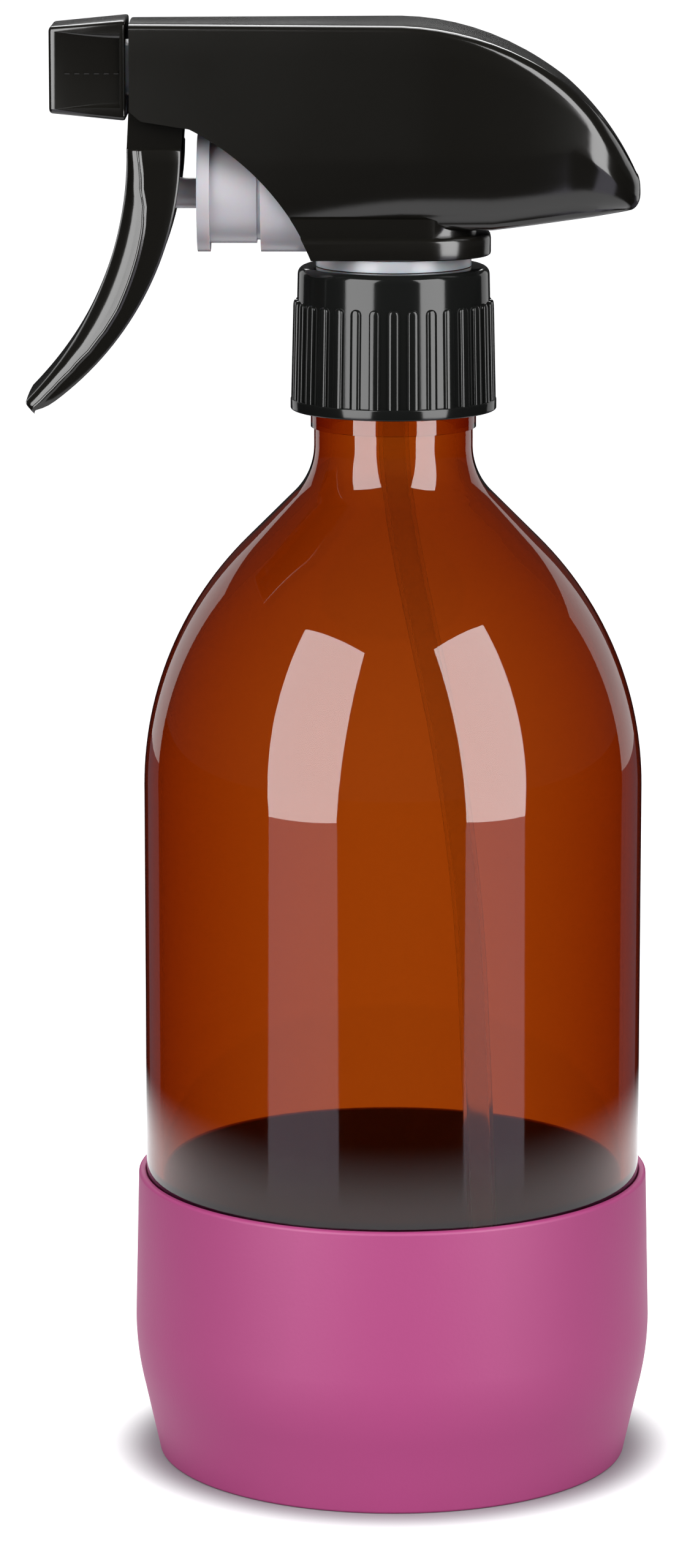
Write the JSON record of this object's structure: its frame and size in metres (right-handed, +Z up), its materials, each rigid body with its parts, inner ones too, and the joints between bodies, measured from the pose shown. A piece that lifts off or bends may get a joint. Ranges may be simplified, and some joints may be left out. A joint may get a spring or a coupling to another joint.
{
  "type": "trigger spray bottle",
  "caption": "Amber glass trigger spray bottle with a magenta silicone base sleeve and a black screw-on trigger pump with a square turning nozzle.",
  "frame": {"origin": "centre of the sleeve's flat base, on the surface it stands on", "axes": "+Z up along the bottle's axis, -X towards the nozzle, +Y to the side of the trigger head that is away from the viewer when the nozzle points left"},
  "size_m": [0.0951, 0.0794, 0.2216],
  "materials": {
    "amber_glass": "clear amber, smooth",
    "silicone": "satin magenta silicone",
    "black_plastic": "glossy black moulded plastic",
    "natural_plastic": "translucent natural plastic",
    "seal_foam": "white foamed liner",
    "soft_seal": "pale soft seal rubber",
    "spring_steel": "drawn stainless wire",
    "ball_steel": "polished stainless ball"
  },
  "bodies": {
    "container": {"bottle": "amber_glass", "silicone_sleeve": "silicone"},
    "head": {"neck_gasket": "seal_foam", "tube_retainer": "natural_plastic", "dip_tube": "natural_plastic", "pump_body": "natural_plastic", "pump_cylinder": "natural_plastic", "shroud": "black_plastic", "spinner": "natural_plastic"},
    "closure": {"closure_cap": "black_plastic"},
    "ball": {"intake_ball": "ball_steel"},
    "trigger": {"trigger_lever": "black_plastic"},
    "piston": {"piston_rod": "natural_plastic", "piston_cup": "soft_seal", "piston_spring": "spring_steel"},
    "nozzle": {"nozzle_cap": "black_plastic", "nozzle_seal": "soft_seal"},
    "poppet": {"outlet_valve": "soft_seal", "outlet_spring": "spring_steel"}
  },
  "joints": [
    {"name": "head_rise", "type": "slide", "parent": "container", "child": "head", "axis": [0, 0, 1], "range_m": [0, 0.00634]},
    {"name": "closure_spin", "type": "hinge", "parent": "head", "child": "closure", "pos_m": [0, 0, 0.1733], "axis": [0, 0, 1], "range_deg": [0, 540]},
    {"name": "ball_lift", "type": "slide", "parent": "head", "child": "ball", "axis": [0, 0, 1], "range_m": [0, 0.0014]},
    {"name": "trigger_pull", "type": "hinge", "parent": "head", "child": "trigger", "pos_m": [-0.036, 0, 0.2095], "axis": [0, -1, 0], "range_deg": [0, 18], "stiffness_Nm_per_rad": 0.2, "springref_deg": -20.05},
    {"name": "piston_stroke", "type": "slide", "parent": "head", "child": "piston", "axis": [1, 0, 0], "range_m": [0, 0.0046], "deforming": ["piston_spring"]},
    {"name": "nozzle_turn", "type": "hinge", "parent": "head", "child": "nozzle", "pos_m": [-0.045, 0, 0.2142], "axis": [-1, 0, 0], "continuous": true},
    {"name": "outlet_valve_lift", "type": "slide", "parent": "head", "child": "poppet", "axis": [-1, 0, 0], "range_m": [0, 0.001], "stiffness_N_per_m": 50, "springref_m": -0.0005, "deforming": ["outlet_spring"]}
  ],
  "couplings": [
    {"joint": "closure_spin", "follows": "head_rise", "rad_per_m": 1484.3},
    {"joint": "piston_stroke", "follows": "trigger_pull", "m_per_rad": 0.014542}
  ]
}
